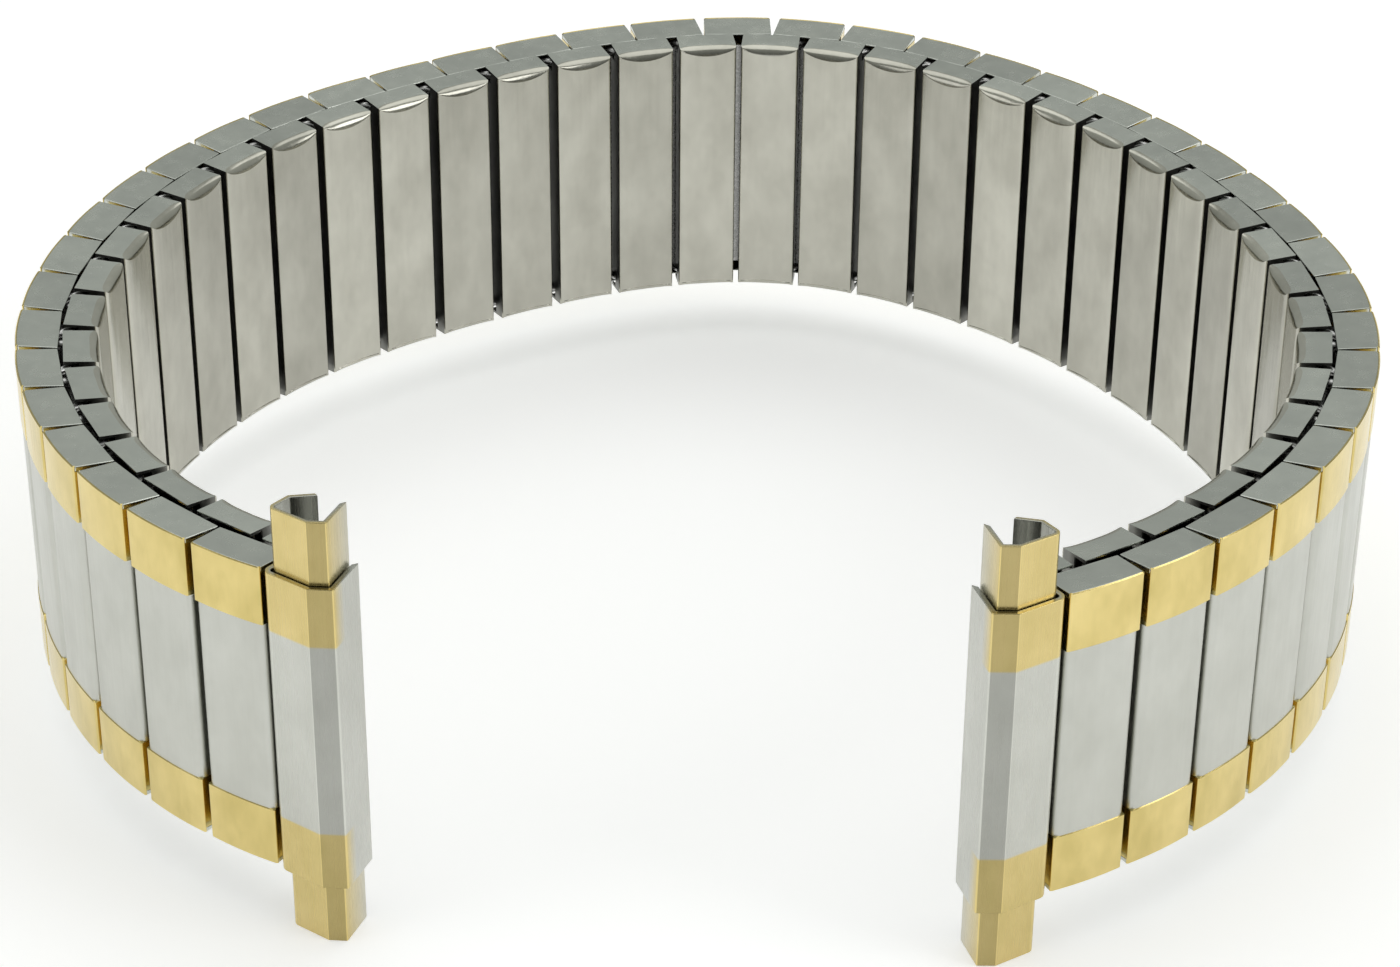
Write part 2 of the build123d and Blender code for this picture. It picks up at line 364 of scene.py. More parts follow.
def loft(name, rings, finish, loop=False, capped=False, keep=None):
    """A skin through rings of points; finish and keep are asked for each quad."""
    count = len(rings[0])
    points = [point for ring in rings for point in ring]
    faces, finishes = [], []
    for i in range(len(rings) - 1):
        for j in range(count if loop else count - 1):
            if keep is None or keep(i, j):
                a, b = i * count + j, i * count + (j + 1) % count
                faces.append((a, b, b + count, a + count))
                finishes.append(finish(i, j))
    if capped:
        faces.append(tuple(range(count)))
        faces.append(tuple(range(len(points) - count, len(points))))
        finishes += [finish(0, 0), finish(len(rings) - 2, 0)]
    return mesh_object(name, points, faces, finishes)


def faced_outward(obj):
    """Merges doubled points and turns all faces away from the middle of the piece."""
    mesh = bmesh.new()
    mesh.from_mesh(obj.data)
    bmesh.ops.remove_doubles(mesh, verts=mesh.verts, dist=MERGE * MM)
    bmesh.ops.dissolve_degenerate(mesh, edges=mesh.edges, dist=MERGE * MM)
    bmesh.ops.recalc_face_normals(mesh, faces=mesh.faces)
    middle = sum((v.co for v in mesh.verts), Vector()) / len(mesh.verts)
    out = sum((f.calc_center_median() - middle).dot(f.normal) * f.calc_area() for f in mesh.faces)
    if out < 0:
        bmesh.ops.reverse_faces(mesh, faces=mesh.faces)
    mesh.to_mesh(obj.data)
    mesh.free()
    return obj


def evaluated(obj):
    """The mesh that an object's modifiers make, free of them."""
    graph = bpy.context.evaluated_depsgraph_get()
    mesh = bpy.data.meshes.new_from_object(obj.evaluated_get(graph), depsgraph=graph)
    obj.modifiers.clear()
    obj.data = mesh
    return obj


def formed(obj, sheet=0, edge=0):
    """A skin given its sheet thickness inwards and its edges a small round."""
    obj.data.shade_smooth()
    if sheet:
        solidify = obj.modifiers.new("sheet", "SOLIDIFY")
        solidify.thickness = sheet * MM
        solidify.offset = -1
    if edge:
        bevel = obj.modifiers.new("edge", "BEVEL")
        bevel.width = edge * MM
        bevel.segments = EDGE_STEPS
        bevel.limit_method = "ANGLE"
        bevel.angle_limit = SHARP
        bevel.harden_normals = True
    return evaluated(obj)


def joined(name, parts):
    """Several objects made one."""
    with bpy.context.temp_override(active_object=parts[0], selected_editable_objects=parts):
        bpy.ops.object.join()
    parts[0].name = name
    return parts[0]


print("edges rounded past", round(math.degrees(SHARP)), "degrees, in steps", EDGE_STEPS)

# %% [markdown]
# The outer link's cover is one pressed sheet. Its plated ends are slightly crowned with
# tight side edges. Between them the bare steel is rolled off more at the sides, so the
# plate ends in a thin crescent of a step beside each groove.

# %% The outer link's cover
OUTER_HEIGHT = 2.15
CROWN = 0.10
PLATE_EDGE = 0.10
SATIN_DIP = 0.045
SATIN_ROLL = (0.42, 0.40)
PLATE_END = 3.0
PLATE_STEP = 0.04
WINDOW_TOP = 0.75
WINDOW = (7.08, 7.70)
RIM = 0.05
COVER_SHEET = 0.13
COVER_EDGE = 0.03
ROLL_STEPS = 5
CROWN_STEPS = 10
OUTER_HALF = OUTER_LENGTH / 2


def cover_line(dip, roll_wide, roll_deep, narrower=0):
    """The section of a cover from the foot of one wall over the crown to the other."""
    half = OUTER_HALF - narrower
    top = OUTER_HEIGHT - dip - narrower
    flat = half - roll_wide
    shoulder = top - CROWN * (flat / OUTER_HALF) ** 2
    right = [(half, 0), (half, WINDOW_TOP)]
    for step in range(ROLL_STEPS):
        angle = math.pi / 2 * step / ROLL_STEPS
        x = half - roll_wide * (1 - math.cos(angle))
        right.append((x, shoulder - roll_deep * (1 - math.sin(angle))))
    crown = []
    for step in range(CROWN_STEPS + 1):
        x = flat - 2 * flat * step / CROWN_STEPS
        crown.append((x, top - CROWN * (x / OUTER_HALF) ** 2))
    return right + crown + [(-x, y) for x, y in reversed(right)]


def cover_rows():
    """(height, section, is it plated) along the link, from its lower end to its middle."""
    plated = cover_line(0, PLATE_EDGE, PLATE_EDGE)
    rim = cover_line(0, PLATE_EDGE, PLATE_EDGE, RIM)
    satin = cover_line(SATIN_DIP, *SATIN_ROLL)
    edge = HALF - PLATE_END
    return [
        (-HALF, rim, True), (RIM - HALF, plated, True), (-WINDOW[1], plated, True),
        (-WINDOW[0], plated, True), (-edge, plated, True), (PLATE_STEP - edge, satin, False),
    ]


def outer_cover():
    """The cover's skin, with windows near both ends and open ends above the flaps."""
    lower = cover_rows()
    rows = lower + [(-z, line, plated) for z, line, plated in reversed(lower)]
    rings = [[(x, y, z) for x, y in line] for z, line, _ in rows]
    last = len(rings[0]) - 2
    walls = {0, 1, last - 1, last}

    def kept(i, j):
        height = abs(rows[i][0] + rows[i + 1][0]) / 2
        if height > WINDOW[1]:
            return j not in walls
        return not (height > WINDOW[0] and j in (0, last))

    def finish(i, j):
        return IN_GOLD if rows[i][2] or rows[i + 1][2] else IN_SATIN

    skin = faced_outward(loft("outer_cover", rings, finish, keep=kept))
    return formed(skin, COVER_SHEET, COVER_EDGE)


link_cover = outer_cover()
print("cover faces", len(link_cover.data.polygons))

# %% [markdown]
# A flap closes each end of the box. On the real band it is folded over the edge and leans
# in towards the wrist, and the cover's rim stands round it as a bright line. A closed
# plate with soft edges gives that, and the lower flap is the upper one mirrored.

# %% The outer link's flaps
FLAP_INSET = 0.08
FLAP_EDGE = 0.09
FLAP_DROP = 0.01
FLAP_LEAN = 0.2


def outer_flap():
    """The flap at the upper end, a closed plate that leans in to the wrist."""
    outline = cover_line(FLAP_INSET, PLATE_EDGE, PLATE_EDGE)
    inner = [(x, y, WINDOW[1]) for x, y in outline]
    outer = []
    for x, y in outline:
        outer.append((x, y, HALF - FLAP_DROP - FLAP_LEAN * (1 - y / OUTER_HEIGHT)))
    flap = loft("outer_flap", [inner, outer], lambda i, j: IN_FLAP, loop=True, capped=True)
    return formed(faced_outward(flap), edge=FLAP_EDGE)


def mirrored(obj):
    """A copy of a piece on the other side of the band's middle plane."""
    twin = obj.copy()
    twin.data = obj.data.copy()
    bpy.context.scene.collection.objects.link(twin)
    twin.data.transform(Matrix.Scale(-1, 4, (0, 0, 1)))
    twin.data.flip_normals()
    return twin


upper_flap = outer_flap()
outer_shell = joined("outer_link_shape", [link_cover, upper_flap, mirrored(upper_flap)])
print("outer link faces", len(outer_shell.data.polygons))

# %% [markdown]
# An inner link is a shallow tray of polished steel, pressed from one sheet. Its long
# folds are tight. At both ends a lip rolls over from the end on to the wrist face, wide
# in the middle and narrow at the corners, and stops at a curved crease. The tray is made
# as rings going down its walls, each ring a little further round the folds, and the last
# ring is filled to make the wrist face.

# %% The inner link's tray
INNER_HALF = INNER_LENGTH / 2
INNER_FOLD = 0.16
INNER_TOP = HALF - 0.12
INNER_LEAN = 0.14
LIP_RISE = 0.05
LIP_HEIGHT = 0.46
UPPER_LIP = (0.16, 0.34)
LOWER_LIP = (0.20, 0.10)
LIP_STEP = 0.03
LIP_COLUMNS = 12
SIDE_MARGIN = 0.04
CORNER_BLEND = 6
FOLD_STEPS = 5
INNER_SHEET = 0.1
INNER_EDGE = 0.03


def lip_depth(share, end):
    """How far a lip reaches over the wrist face, at a share of the half length."""
    corner, bulge = UPPER_LIP if end > 0 else LOWER_LIP
    return corner + bulge * (1 - share ** 2)


def tray_ring(low_x, high_x, y_end, y_side, turn, step=0):
    """One ring round a tray: walls at their heights, drawn in by how far the fold turns."""
    middle, half = (low_x + high_x) / 2, (high_x - low_x) / 2
    drawn = 1 - math.cos(turn)
    ring = []
    for end in (1, -1):
        for column in range(LIP_COLUMNS + 1):
            share = 2 * column / LIP_COLUMNS - 1
            x = middle + end * share * (half - INNER_FOLD * drawn)
            near_corner = share ** CORNER_BLEND
            y = y_end * (1 - near_corner) + y_side * near_corner
            top = INNER_TOP + INNER_LEAN * y / INNER_HEIGHT
            ring.append((x, y, end * (top - lip_depth(share, end) * drawn - step)))
        x = middle + end * (half - INNER_FOLD * drawn)
        top = INNER_TOP + INNER_LEAN * y_side / INNER_HEIGHT - step - SIDE_MARGIN
        near, far = [min(WINDOW[1], top - lip_depth(1, e) * drawn) for e in (end, -end)]
        for z in (near, WINDOW[0], -WINDOW[0], -far):
            ring.append((x, y_side, end * z))
    return ring


print("points in a ring", len(tray_ring(-INNER_HALF, INNER_HALF, 0, 0, 0)))

# %% [markdown]
# The rings are joined into a skin that is open towards the outer row. The side walls keep
# four small windows for the bows. The last inner link of each end is cut short, so the
# tray is made between any two reaches along the band.

# %% The whole tray
def inner_tray(low_x, high_x):
    """The tray of an inner link between two reaches along the band."""
    wrist = -INNER_HEIGHT
    rings = [
        tray_ring(low_x, high_x, 0, 0, 0),
        tray_ring(low_x, high_x, -WINDOW_TOP, -WINDOW_TOP, 0),
        tray_ring(low_x, high_x, wrist + LIP_HEIGHT, wrist + LIP_RISE + INNER_FOLD, 0),
    ]
    for fold in range(1, FOLD_STEPS + 1):
        turn = math.pi / 2 * fold / FOLD_STEPS
        left = 1 - math.sin(turn)
        end, side = wrist + LIP_HEIGHT * left, wrist + LIP_RISE + INNER_FOLD * left
        rings.append(tray_ring(low_x, high_x, end, side, turn))
    floor = wrist + LIP_RISE
    rings.append(tray_ring(low_x, high_x, floor, floor, math.pi / 2, LIP_STEP))
    side = LIP_COLUMNS + 5
    windows = {LIP_COLUMNS + 1, LIP_COLUMNS + 3}

    # The long side walls take the painted shade of the gaps, the lips and wrist face the polished
    # finishes.
    def finish(i, j):
        if i < 2:
            return IN_PAINTED_SHADE_WALL if j % side >= LIP_COLUMNS else IN_FLAP
        return IN_FACE

    tray = loft(
        "inner_tray", rings, finish, loop=True,
        keep=lambda i, j: not (i == 0 and j % side in windows),
    )
    fill_last_ring(tray, len(rings[0]))
    return formed(faced_outward(tray), INNER_SHEET, INNER_EDGE)


def fill_last_ring(obj, count):
    """Closes the wrist face across the last ring of points."""
    mesh = bmesh.new()
    mesh.from_mesh(obj.data)
    mesh.verts.ensure_lookup_table()
    floor = mesh.faces.new(mesh.verts[len(mesh.verts) - count:])
    floor[mesh.faces.layers.int["finish"]] = IN_FACE
    mesh.to_mesh(obj.data)
    mesh.free()


inner_shell = inner_tray(-INNER_HALF, INNER_HALF)
inner_shell.name = "inner_link_shape"
print("inner link faces", len(inner_shell.data.polygons))

# %% [markdown]
# What is inside a link hardly shows, but it is what makes the band work: a plate closes
# the box, and a leaf spring, bowed along the link, presses on the legs of the bows. A
# small Geometry Nodes tree makes both from their sizes, as two bars, one of them bent.
# First come the few helpers that the trees share.

# %% Helpers for the trees
def new_tree(name, inputs):
    """A Geometry Nodes tree with named inputs, and its input and output nodes."""
    tree = bpy.data.node_groups.new(name, "GeometryNodeTree")
    tree.is_modifier = True
    sockets = tree.interface
    sockets.new_socket("Geometry", in_out="INPUT", socket_type="NodeSocketGeometry")
    for label, kind in inputs:
        sockets.new_socket(label, in_out="INPUT", socket_type="NodeSocket" + kind)
    sockets.new_socket("Geometry", in_out="OUTPUT", socket_type="NodeSocketGeometry")
    return tree, tree.nodes.new("NodeGroupInput"), tree.nodes.new("NodeGroupOutput")


def add(tree, kind, links=(), **settings):
    """A node with its settings, and its inputs linked or set by name or number."""
    node = tree.nodes.new(kind)
    for key, value in settings.items():
        setattr(node, key, value)
    for socket, value in links:
        target = node.inputs[socket]
        if isinstance(value, bpy.types.NodeSocket):
            tree.links.new(value, target)
        else:
            target.default_value = value
    return node


def math_node(tree, operation, a, b=0):
    """The result of one sum."""
    return add(tree, "ShaderNodeMath", ((0, a), (1, b)), operation=operation).outputs[0]


def vector(tree, x=0, y=0, z=0):
    """Three values put together."""
    return add(tree, "ShaderNodeCombineXYZ", ((0, x), (1, y), (2, z))).outputs[0]


def in_material(tree, geometry, material, chosen=True):
    """Set Material on all of a geometry, or on chosen faces of it."""
    links = (("Geometry", geometry), ("Selection", chosen), ("Material", material))
    return add(tree, "GeometryNodeSetMaterial", links).outputs[0]


def painted(tree, geometry):
    """Set Material for each finish, by the number that the faces carry."""
    number = add(tree, "GeometryNodeInputNamedAttribute", (("Name", "finish"),), data_type="INT")
    for index, material in enumerate(FINISHES):
        same = add(
            tree, "FunctionNodeCompare", ((2, number.outputs[0]), (3, index)),
            data_type="INT", operation="EQUAL",
        )
        geometry = in_material(tree, geometry, material, same.outputs[0])
    return geometry


def grown(name, tree, values, start=None):
    """The plain mesh that a tree makes with its inputs set, as a new object."""
    obj = bpy.data.objects.new(name, start or bpy.data.meshes.new(name))
    bpy.context.scene.collection.objects.link(obj)
    modifier = obj.modifiers.new(tree.name, "NODES")
    modifier.node_group = tree
    for item in tree.interface.items_tree:
        if item.in_out == "INPUT" and item.name in values:
            modifier[item.identifier] = values[item.name]
    return evaluated(obj)


print("finishes that a tree can lay", len(FINISHES))

# %% [markdown]
# The leaf starts as a flat bar with a row of points along it. Each point is lifted by
# one minus the square of its share of the half length, which is the shape that a spring
# takes when it is pressed at its ends. The same tree serves the outer and inner links.

# %% A tree for the plate and the leaf spring
LEAF_POINTS = 13


def inside_tree():
    """A flat plate and a bowed leaf, both standing along Z."""
    names = (
        "Plate length", "Plate thickness", "Plate width", "Plate level",
        "Leaf width", "Leaf sheet", "Leaf length", "Leaf low", "Leaf rise", "Leaf place",
    )
    tree, given, out = new_tree("inside_of_link", [(name, "Float") for name in names])
    size = given.outputs
    plate_size = vector(tree, size["Plate length"], size["Plate thickness"], size["Plate width"])
    plate = add(tree, "GeometryNodeMeshCube", (("Size", plate_size),))
    lifted = add(
        tree, "GeometryNodeTransform",
        (("Geometry", plate.outputs[0]), ("Translation", vector(tree, y=size["Plate level"]))),
    )
    leaf_size = vector(tree, size["Leaf width"], size["Leaf sheet"], size["Leaf length"])
    leaf = add(tree, "GeometryNodeMeshCube", (("Size", leaf_size), ("Vertices Z", LEAF_POINTS)))
    position = tree.nodes.new("GeometryNodeInputPosition")
    place = add(tree, "ShaderNodeSeparateXYZ", ((0, position.outputs[0]),))
    half = math_node(tree, "MULTIPLY", size["Leaf length"], 0.5)
    share = math_node(tree, "DIVIDE", place.outputs[2], half)
    bowed = math_node(tree, "SUBTRACT", 1, math_node(tree, "MULTIPLY", share, share))
    rise = math_node(tree, "MULTIPLY", bowed, size["Leaf rise"])
    level = math_node(tree, "ADD", size["Leaf low"], rise)
    bent = add(
        tree, "GeometryNodeSetPosition",
        (("Geometry", leaf.outputs[0]), ("Offset", vector(tree, size["Leaf place"], level))),
    )
    both = add(tree, "GeometryNodeJoinGeometry")
    tree.links.new(lifted.outputs[0], both.inputs[0])
    tree.links.new(bent.outputs[0], both.inputs[0])
    numbered = add(
        tree, "GeometryNodeStoreNamedAttribute",
        (("Geometry", both.outputs[0]), ("Name", "finish"), ("Value", IN_WIRE)),
        data_type="INT", domain="FACE",
    )
    real = add(tree, "GeometryNodeRealizeInstances", ((0, numbered.outputs[0]),))
    tree.links.new(in_material(tree, real.outputs[0], WIRE), out.inputs[0])
    return tree


INSIDE = inside_tree()
LEGS_TOP = 0.75
LEAF_SHEET = 0.12
SAME_INSIDE = {
    "Plate width": 14.2, "Leaf width": 2.4, "Leaf sheet": LEAF_SHEET, "Leaf length": 12.6,
    "Leaf place": 0,
}
OUTER_INSIDE = SAME_INSIDE | {
    "Plate length": 3.66, "Plate thickness": 0.24, "Plate level": 0.13,
    "Leaf low": LEGS_TOP + LEAF_SHEET / 2, "Leaf rise": 0.86,
}
INNER_INSIDE = SAME_INSIDE | {
    "Plate length": 3.30, "Plate thickness": 0.25, "Plate level": -0.135,
    "Leaf low": -LEGS_TOP - LEAF_SHEET / 2, "Leaf rise": -0.61,
}


def inside(name, sizes):
    """The plate and leaf spring of a link, from sizes in millimetres."""
    return grown(name, INSIDE, {key: value * MM for key, value in sizes.items()})


OUTER_SHAPE = joined("outer_link_shape", [outer_shell, inside("outer_inside", OUTER_INSIDE)])
INNER_SHAPE = joined("inner_link_shape", [inner_shell, inside("inner_inside", INNER_INSIDE)])
print("shapes", len(OUTER_SHAPE.data.polygons), len(INNER_SHAPE.data.polygons))

# %% [markdown]
# The rows are what repeats, so a second tree sets them out. It is given a row of points,
# one for each link, with the heading kept on each point, and the shape to repeat. It puts
# the shape on one point, turns it to the heading and makes it real, because each link
# rides on a body of its own and has to be a mesh of its own. It also draws the link's tone
# between two limits, by the link's number and one fixed seed.

# %% A tree for the rows
LINK_TONES = {"Darkest": 0.84, "Lightest": 1.08}
TONE_SEED = 5


def row_mesh(name, places):
    """Points for the links of a row, each with its heading."""
    mesh = bpy.data.meshes.new(name)
    mesh.from_pydata([Vector((x, y, MIDDLE_HEIGHT)) * MM for x, y, _ in places], [], [])
    turns = mesh.attributes.new("heading", "FLOAT", "POINT")
    turns.data.foreach_set("value", [math.radians(turn) for _, _, turn in places])
    return mesh


def row_tree():
    """One link of a row, set on its point and turned to its heading."""
    inputs = [("Link shape", "Object"), ("Link number", "Int")]
    inputs += [(name, "Float") for name in LINK_TONES]
    tree, given, out = new_tree("link_in_its_row", inputs)
    number = given.outputs["Link number"]
    index = tree.nodes.new("GeometryNodeInputIndex")
    chosen = add(
        tree, "FunctionNodeCompare", ((2, index.outputs[0]), (3, number)),
        data_type="INT", operation="EQUAL",
    )
    turn = add(tree, "GeometryNodeInputNamedAttribute", (("Name", "heading"),), data_type="FLOAT")
    euler = add(tree, "FunctionNodeEulerToRotation", ((0, vector(tree, z=turn.outputs[0])),))
    shape = add(
        tree, "GeometryNodeObjectInfo",
        (("Object", given.outputs["Link shape"]), ("As Instance", True)),
    )
    placed = add(
        tree, "GeometryNodeInstanceOnPoints",
        (("Points", given.outputs["Geometry"]), ("Selection", chosen.outputs[0]),
         ("Instance", shape.outputs["Geometry"]), ("Rotation", euler.outputs[0])),
    )
    real = add(tree, "GeometryNodeRealizeInstances", ((0, placed.outputs[0]),))
    tone = add(
        tree, "FunctionNodeRandomValue",
        ((2, given.outputs["Darkest"]), (3, given.outputs["Lightest"]),
         ("ID", number), ("Seed", TONE_SEED)),
    )
    toned_link = add(
        tree, "GeometryNodeStoreNamedAttribute",
        (("Geometry", real.outputs[0]), ("Name", "tone"), ("Value", tone.outputs[1])),
        data_type="FLOAT", domain="POINT",
    )
    tree.links.new(painted(tree, toned_link.outputs[0]), out.inputs[0])
    return tree


ROW = row_tree()
OUTER_ROW = row_mesh("outer_row", [outer_place(number) for number in range(1, LINKS + 1)])
INNER_ROW = row_mesh("inner_row", [inner_place(number) for number in range(LINKS + 1)])


def link_at(name, row, shape, index):
    """One link's mesh, in its place in a row."""
    return grown(name, ROW, {"Link shape": shape, "Link number": index} | LINK_TONES, row)


print("row tree nodes", len(ROW.nodes), "points", len(OUTER_ROW.vertices), len(INNER_ROW.vertices))

# %% [markdown]
# Each bow is a staple of round wire: a leg in an outer link, a leg in an inner link, and
# a bridge between them with bent corners. Its tree draws four points, rounds the two
# corners and runs a small circle along the line. The same staple upside down holds the
# other edge of the band.

# %% A tree for the bows
BOW_SIZES = {"Top": 7.34, "Leg length": 3.7, "Wire radius": 0.22, "Corner radius": 0.34}
WIRE_SIDES = 10
BEND_POINTS = 4


def bow_tree():
    """A wire staple through two legs, with its twin at the other edge of the band."""
    inputs = [("Outer leg", "Vector"), ("Inner leg", "Vector")]
    inputs += [(label, "Float") for label in BOW_SIZES] + [("Middle height", "Float")]
    tree, given, out = new_tree("wire_bow", inputs)
    size = given.outputs
    low = math_node(tree, "SUBTRACT", size["Top"], size["Leg length"])
    ends = []
    for leg, height in (("Outer leg", low), ("Outer leg", size["Top"]),
                        ("Inner leg", size["Top"]), ("Inner leg", low)):
        lift = add(tree, "ShaderNodeVectorMath", ((0, size[leg]), (1, vector(tree, z=height))))
        ends.append(lift.outputs[0])
    switch = tree.nodes.new("GeometryNodeIndexSwitch")
    switch.data_type = "VECTOR"
    while len(switch.index_switch_items) < len(ends):
        switch.index_switch_items.new()
    tree.links.new(tree.nodes.new("GeometryNodeInputIndex").outputs[0], switch.inputs["Index"])
    for place, end in enumerate(ends):
        tree.links.new(end, switch.inputs[place + 1])
    line = add(tree, "GeometryNodeMeshLine", (("Count", len(ends)),))
    shaped = add(
        tree, "GeometryNodeSetPosition",
        ((0, line.outputs[0]), ("Position", switch.outputs[0])),
    )
    curve = add(tree, "GeometryNodeMeshToCurve", ((0, shaped.outputs[0]),))
    bent = add(
        tree, "GeometryNodeFilletCurve",
        (("Curve", curve.outputs[0]), ("Radius", size["Corner radius"]), ("Count", BEND_POINTS)),
        mode="POLY",
    )
    circle = add(
        tree, "GeometryNodeCurvePrimitiveCircle",
        (("Resolution", WIRE_SIDES), ("Radius", size["Wire radius"])),
    )
    wire = add(
        tree, "GeometryNodeCurveToMesh",
        (("Curve", bent.outputs[0]), ("Profile Curve", circle.outputs[0]), ("Fill Caps", True)),
    )
    twin = add(
        tree, "GeometryNodeTransform",
        (("Geometry", wire.outputs[0]), ("Scale", vector(tree, 1, 1, -1))),
    )
    flipped = add(tree, "GeometryNodeFlipFaces", ((0, twin.outputs[0]),))
    both = add(tree, "GeometryNodeJoinGeometry")
    tree.links.new(wire.outputs[0], both.inputs[0])
    tree.links.new(flipped.outputs[0], both.inputs[0])
    raised = add(
        tree, "GeometryNodeTransform",
        (("Geometry", both.outputs[0]), ("Translation", vector(tree, z=size["Middle height"]))),
    )
    smooth = add(tree, "GeometryNodeSetShadeSmooth", ((0, raised.outputs[0]),))
    real = add(tree, "GeometryNodeRealizeInstances", ((0, smooth.outputs[0]),))
    tree.links.new(in_material(tree, real.outputs[0], WIRE), out.inputs[0])
    return tree


BOW = bow_tree()
print("bow tree nodes", len(BOW.nodes))

# %% [markdown]
# Every inner link carries a bow to each of its two outer links. The one towards the
# middle of the band stands where its outer link holds it, and the other has room to slide
# as the pitch stretches. The places of the legs are told about the links, so that they
# follow the curve.

# %% The bows of a link
INNER_LEG = (1.205, -0.5)
FIXED_LEG = (0.82, 0.5)
FREE_LEG = (-0.125, 0.5)


def bow_between(name, outer_leg, inner_leg):
    """A bow and its twin through two points of the band's plane."""
    values = {label: size * MM for label, size in BOW_SIZES.items()}
    values |= {
        "Outer leg": Vector((*outer_leg, 0)) * MM, "Inner leg": Vector((*inner_leg, 0)) * MM,
        "Middle height": MIDDLE_HEIGHT * MM,
    }
    return grown(name, BOW, values)


def bows_of(number, side):
    """The bows of an inner link: upright towards the middle of the band, leaning beyond."""
    near, far = (number, number + 1) if side > 0 else (number + 1, number)
    own = inner_place(number)
    fixed = in_band(outer_place(near), FIXED_LEG[0] * side, FIXED_LEG[1])
    bows = [bow_between("bow", fixed, in_band(own, -INNER_LEG[0] * side, INNER_LEG[1]))]
    if 0 < number < LINKS:
        free = in_band(outer_place(far), FREE_LEG[0] * side, FREE_LEG[1])
        bows.append(bow_between("bow", free, in_band(own, INNER_LEG[0] * side, INNER_LEG[1])))
    return bows


print("bow legs from the middle of a link in mm", INNER_LEG[0], FIXED_LEG[0], FREE_LEG[0])

# %% [markdown]
# The last inner link at each end is shorter. A pivot pin runs through it from edge to
# edge, and a slot at its end lets the eye of the end shell reach the pin. Booleans cut
# the pin's bores and the slot, because both pass through folds of the tray.

# %% The last inner links
END_REACH = 0.9
PIN = {"radius": 0.25, "x": 0.17, "y": -0.85}
BORE_GAP = 0.01
SLOT_START = 0.30
SLOT_HALF = 4.1
SLOT_DEEPER = 0.1
PIN_END = 7.7
PIN_EDGE = 0.05
PIN_SIDES = 24
PAST = 1
END_INSIDE = {"Plate length": 1.8, "Leaf width": 0.98}
END_LEAF_PLACE = -0.83


def round_bar(name, x, y, radius, low, high, number, bevel=0):
    """A bar along Z with rounded ends."""
    levels = [(low, bevel), (low + bevel, 0), (high - bevel, 0), (high, bevel)]
    rings = []
    for z, inset in levels:
        r = radius - inset
        turns = [2 * math.pi * k / PIN_SIDES for k in range(PIN_SIDES)]
        rings.append([(x + r * math.cos(a), y + r * math.sin(a), z) for a in turns])
    bar = loft(name, rings, lambda i, j: number, loop=True, capped=True)
    return faced_outward(bar)


def box_tool(name, low, high):
    """A plain block used only as a cutter."""
    (x0, y0, z0), (x1, y1, z1) = low, high
    rings = [[(x0, y0, z), (x1, y0, z), (x1, y1, z), (x0, y1, z)] for z in (z0, z1)]
    return faced_outward(loft(name, rings, lambda i, j: IN_FLAP, loop=True, capped=True))


def cut(obj, tools):
    """Cuts closed tools out of a piece and deletes them."""
    for tool in tools:
        hole = obj.modifiers.new("cut", "BOOLEAN")
        hole.operation = "DIFFERENCE"
        hole.object = tool
    evaluated(obj)
    for tool in tools:
        bpy.data.objects.remove(tool)
    return obj


def end_inner_shape(side):
    """The short tray of one end, with its bores, slot, plate, spring and pin."""
    low, high = sorted((-INNER_HALF * side, END_REACH * side))
    tray = inner_tray(low, high)
    x, y = PIN["x"] * side, PIN["y"]
    start, beyond = sorted((SLOT_START * side, (END_REACH + PAST) * side))
    reach = HALF + PAST
    bore = round_bar("bore", x, y, PIN["radius"] + BORE_GAP, -reach, reach, IN_FLAP)
    slot = box_tool("slot", (start, y - SLOT_DEEPER, -SLOT_HALF), (beyond, PAST, SLOT_HALF))
    cut(tray, [bore, slot])
    pin = round_bar("pin", x, y, PIN["radius"], -PIN_END, PIN_END, IN_WIRE, PIN_EDGE)
    sizes = INNER_INSIDE | END_INSIDE | {"Leaf place": END_LEAF_PLACE * side}
    return joined("end_inner_shape", [tray, formed(pin), inside("end_inside", sizes)])


END_SHAPES = {side: end_inner_shape(side) for side in (-1, 1)}
print("end shapes", [len(shape.data.polygons) for shape in END_SHAPES.values()])

# %% [markdown]
# Now the links are set out, from one end of the band to the other. Twelve of the inner
# links turn on a bow by themselves and have a body of their own. The others move with
# the outer link that carries them, so they ride on that link's body.

# %% Set out the links
BENDING = (4, 7, 10, 13, 16, 19, 23, 26, 29, 32, 35, 38)


def outer_body(number):
    """The body that carries an outer link."""
    kind = "outer_link" if number in BENDING else "link_pair"
    return f"middle_links_{number}" if number == MIDDLE else f"{kind}_{number:02d}"


def inner_body(carrier):
    """The body of the inner link that an outer link carries."""
    return f"inner_link_{carrier:02d}" if carrier in BENDING else outer_body(carrier)


def set_out(piece, body):
    """Rides a piece on its body and lets it stand for that body's solids."""
    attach(piece, body)
    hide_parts(body)


for number in range(1, LINKS + 1):
    outer = link_at(f"outer_cover_{number:02d}", OUTER_ROW, OUTER_SHAPE, number - 1)
    set_out(outer, outer_body(number))
    sides = (-1, 1) if number == MIDDLE else (1 if number > MIDDLE else -1,)
    for side in sides:
        inner = number if side > 0 else number - 1
        shape = INNER_SHAPE if 0 < inner < LINKS else END_SHAPES[side]
        tray = link_at("tray", INNER_ROW, shape, inner)
        piece = joined(f"inner_sleeve_{inner:02d}", [tray, *bows_of(inner, side)])
        set_out(piece, inner_body(number))
for shape in (OUTER_SHAPE, INNER_SHAPE, *END_SHAPES.values()):
    bpy.data.objects.remove(shape)

# %% [markdown]
# An end shell is a folded channel: five facets of one sheet, open towards the wrist. Two
# tubes of the same section, one size smaller, slide out of it to fit the watch. Both are
# drawn as a line with rounded folds and a second line one sheet further in. A line is
# easier to fit to the real section than five plates, and its folds come out even.

